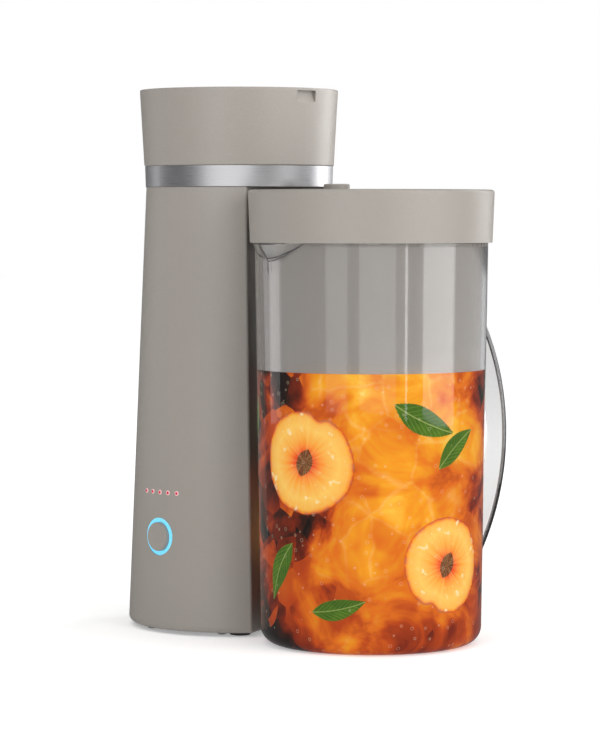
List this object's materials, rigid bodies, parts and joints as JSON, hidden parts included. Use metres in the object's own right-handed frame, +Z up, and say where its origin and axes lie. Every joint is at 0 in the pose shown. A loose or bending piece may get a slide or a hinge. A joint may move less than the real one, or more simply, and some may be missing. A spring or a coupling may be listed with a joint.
{
  "type": "iced tea maker",
  "caption": "Countertop iced tea brewing tower with a hinged top, start button and indicator lights, beside a lidded double-wall pitcher with a bow handle.",
  "frame": {"origin": "on the table, under the middle of the whole object's box (handle and pitcher included)", "axes": "+Z up, +X from the brewing tower to the pitcher, -Y the side with the start button"},
  "size_m": [0.2515, 0.1567, 0.3211],
  "materials": {
    "taupe_plastic": "satin, fine grain",
    "dark_plastic": "matt",
    "white_plastic": "satin",
    "warm_grey_plastic": "smooth",
    "frosted_plastic": "frosted, translucent",
    "clear_plastic": "clear, polished",
    "printed_wrap": "printed film in amber and orange",
    "silver_trim": "satin metal band",
    "steel": "bright",
    "cast_aluminium": "as cast",
    "grey_rubber": "soft",
    "silicone": "translucent, soft",
    "fine_mesh": "woven wire",
    "board": "solder mask",
    "red_light": "lit lens",
    "cyan_light": "lit light guide"
  },
  "bodies": {
    "tower": {"tower_shell": "taupe_plastic", "base_plate": "dark_plastic", "feet": "grey_rubber", "base_screws": "steel", "chassis_plate": "white_plastic", "trim_band": "silver_trim", "head_shell": "taupe_plastic", "head_screws": "steel", "hinge_pin": "steel", "brew_well": "white_plastic", "outlet_nozzle": "grey_rubber", "brew_basket": "dark_plastic", "mesh_filter": "fine_mesh", "reservoir_tank": "frosted_plastic", "cold_hose": "silicone", "check_valve": "white_plastic", "valve_ball": "steel", "riser_hose": "silicone", "riser_spout": "white_plastic", "hose_clamps": "steel", "heater_block": "cast_aluminium", "heater_element": "steel", "heater_bracket": "steel", "heater_screws": "steel", "thermostat": "steel", "thermal_fuse": "white_plastic", "control_board": "board", "board_screws": "steel", "start_switch": "dark_plastic", "indicator_leds": "red_light", "indicator_lenses": "red_light", "light_ring": "cyan_light", "cord_grommet": "dark_plastic"},
    "head_lid": {"head_lid": "taupe_plastic", "spray_tray": "white_plastic"},
    "button": {"power_button": "taupe_plastic"},
    "pitcher": {"pitcher_shell": "clear_plastic", "pitcher_wrap": "printed_wrap", "pitcher_liner": "warm_grey_plastic", "pitcher_handle": "clear_plastic"},
    "pitcher_lid": {"pitcher_lid": "taupe_plastic", "lid_gasket": "silicone", "steam_vent": "taupe_plastic"}
  },
  "joints": [
    {"name": "head_lid_hinge", "type": "hinge", "parent": "tower", "child": "head_lid", "pos_m": [-0.10485, -0.00762, 0.3182], "axis": [0, -1, 0], "range_deg": [0, 95]},
    {"name": "button_press", "type": "slide", "parent": "tower", "child": "button", "axis": [0, 1, 0], "range_m": [0, 0.0012], "stiffness_N_per_m": 900},
    {"name": "pitcher_slide", "type": "slide", "parent": "tower", "child": "pitcher", "axis": [1, 0, 0], "range_m": [0, 0.15]},
    {"name": "pitcher_lid_turn", "type": "hinge", "parent": "pitcher", "child": "pitcher_lid", "pos_m": [0.05435, -0.00762, 0.255], "axis": [0, 0, 1], "range_deg": [0, 55]}
  ]
}
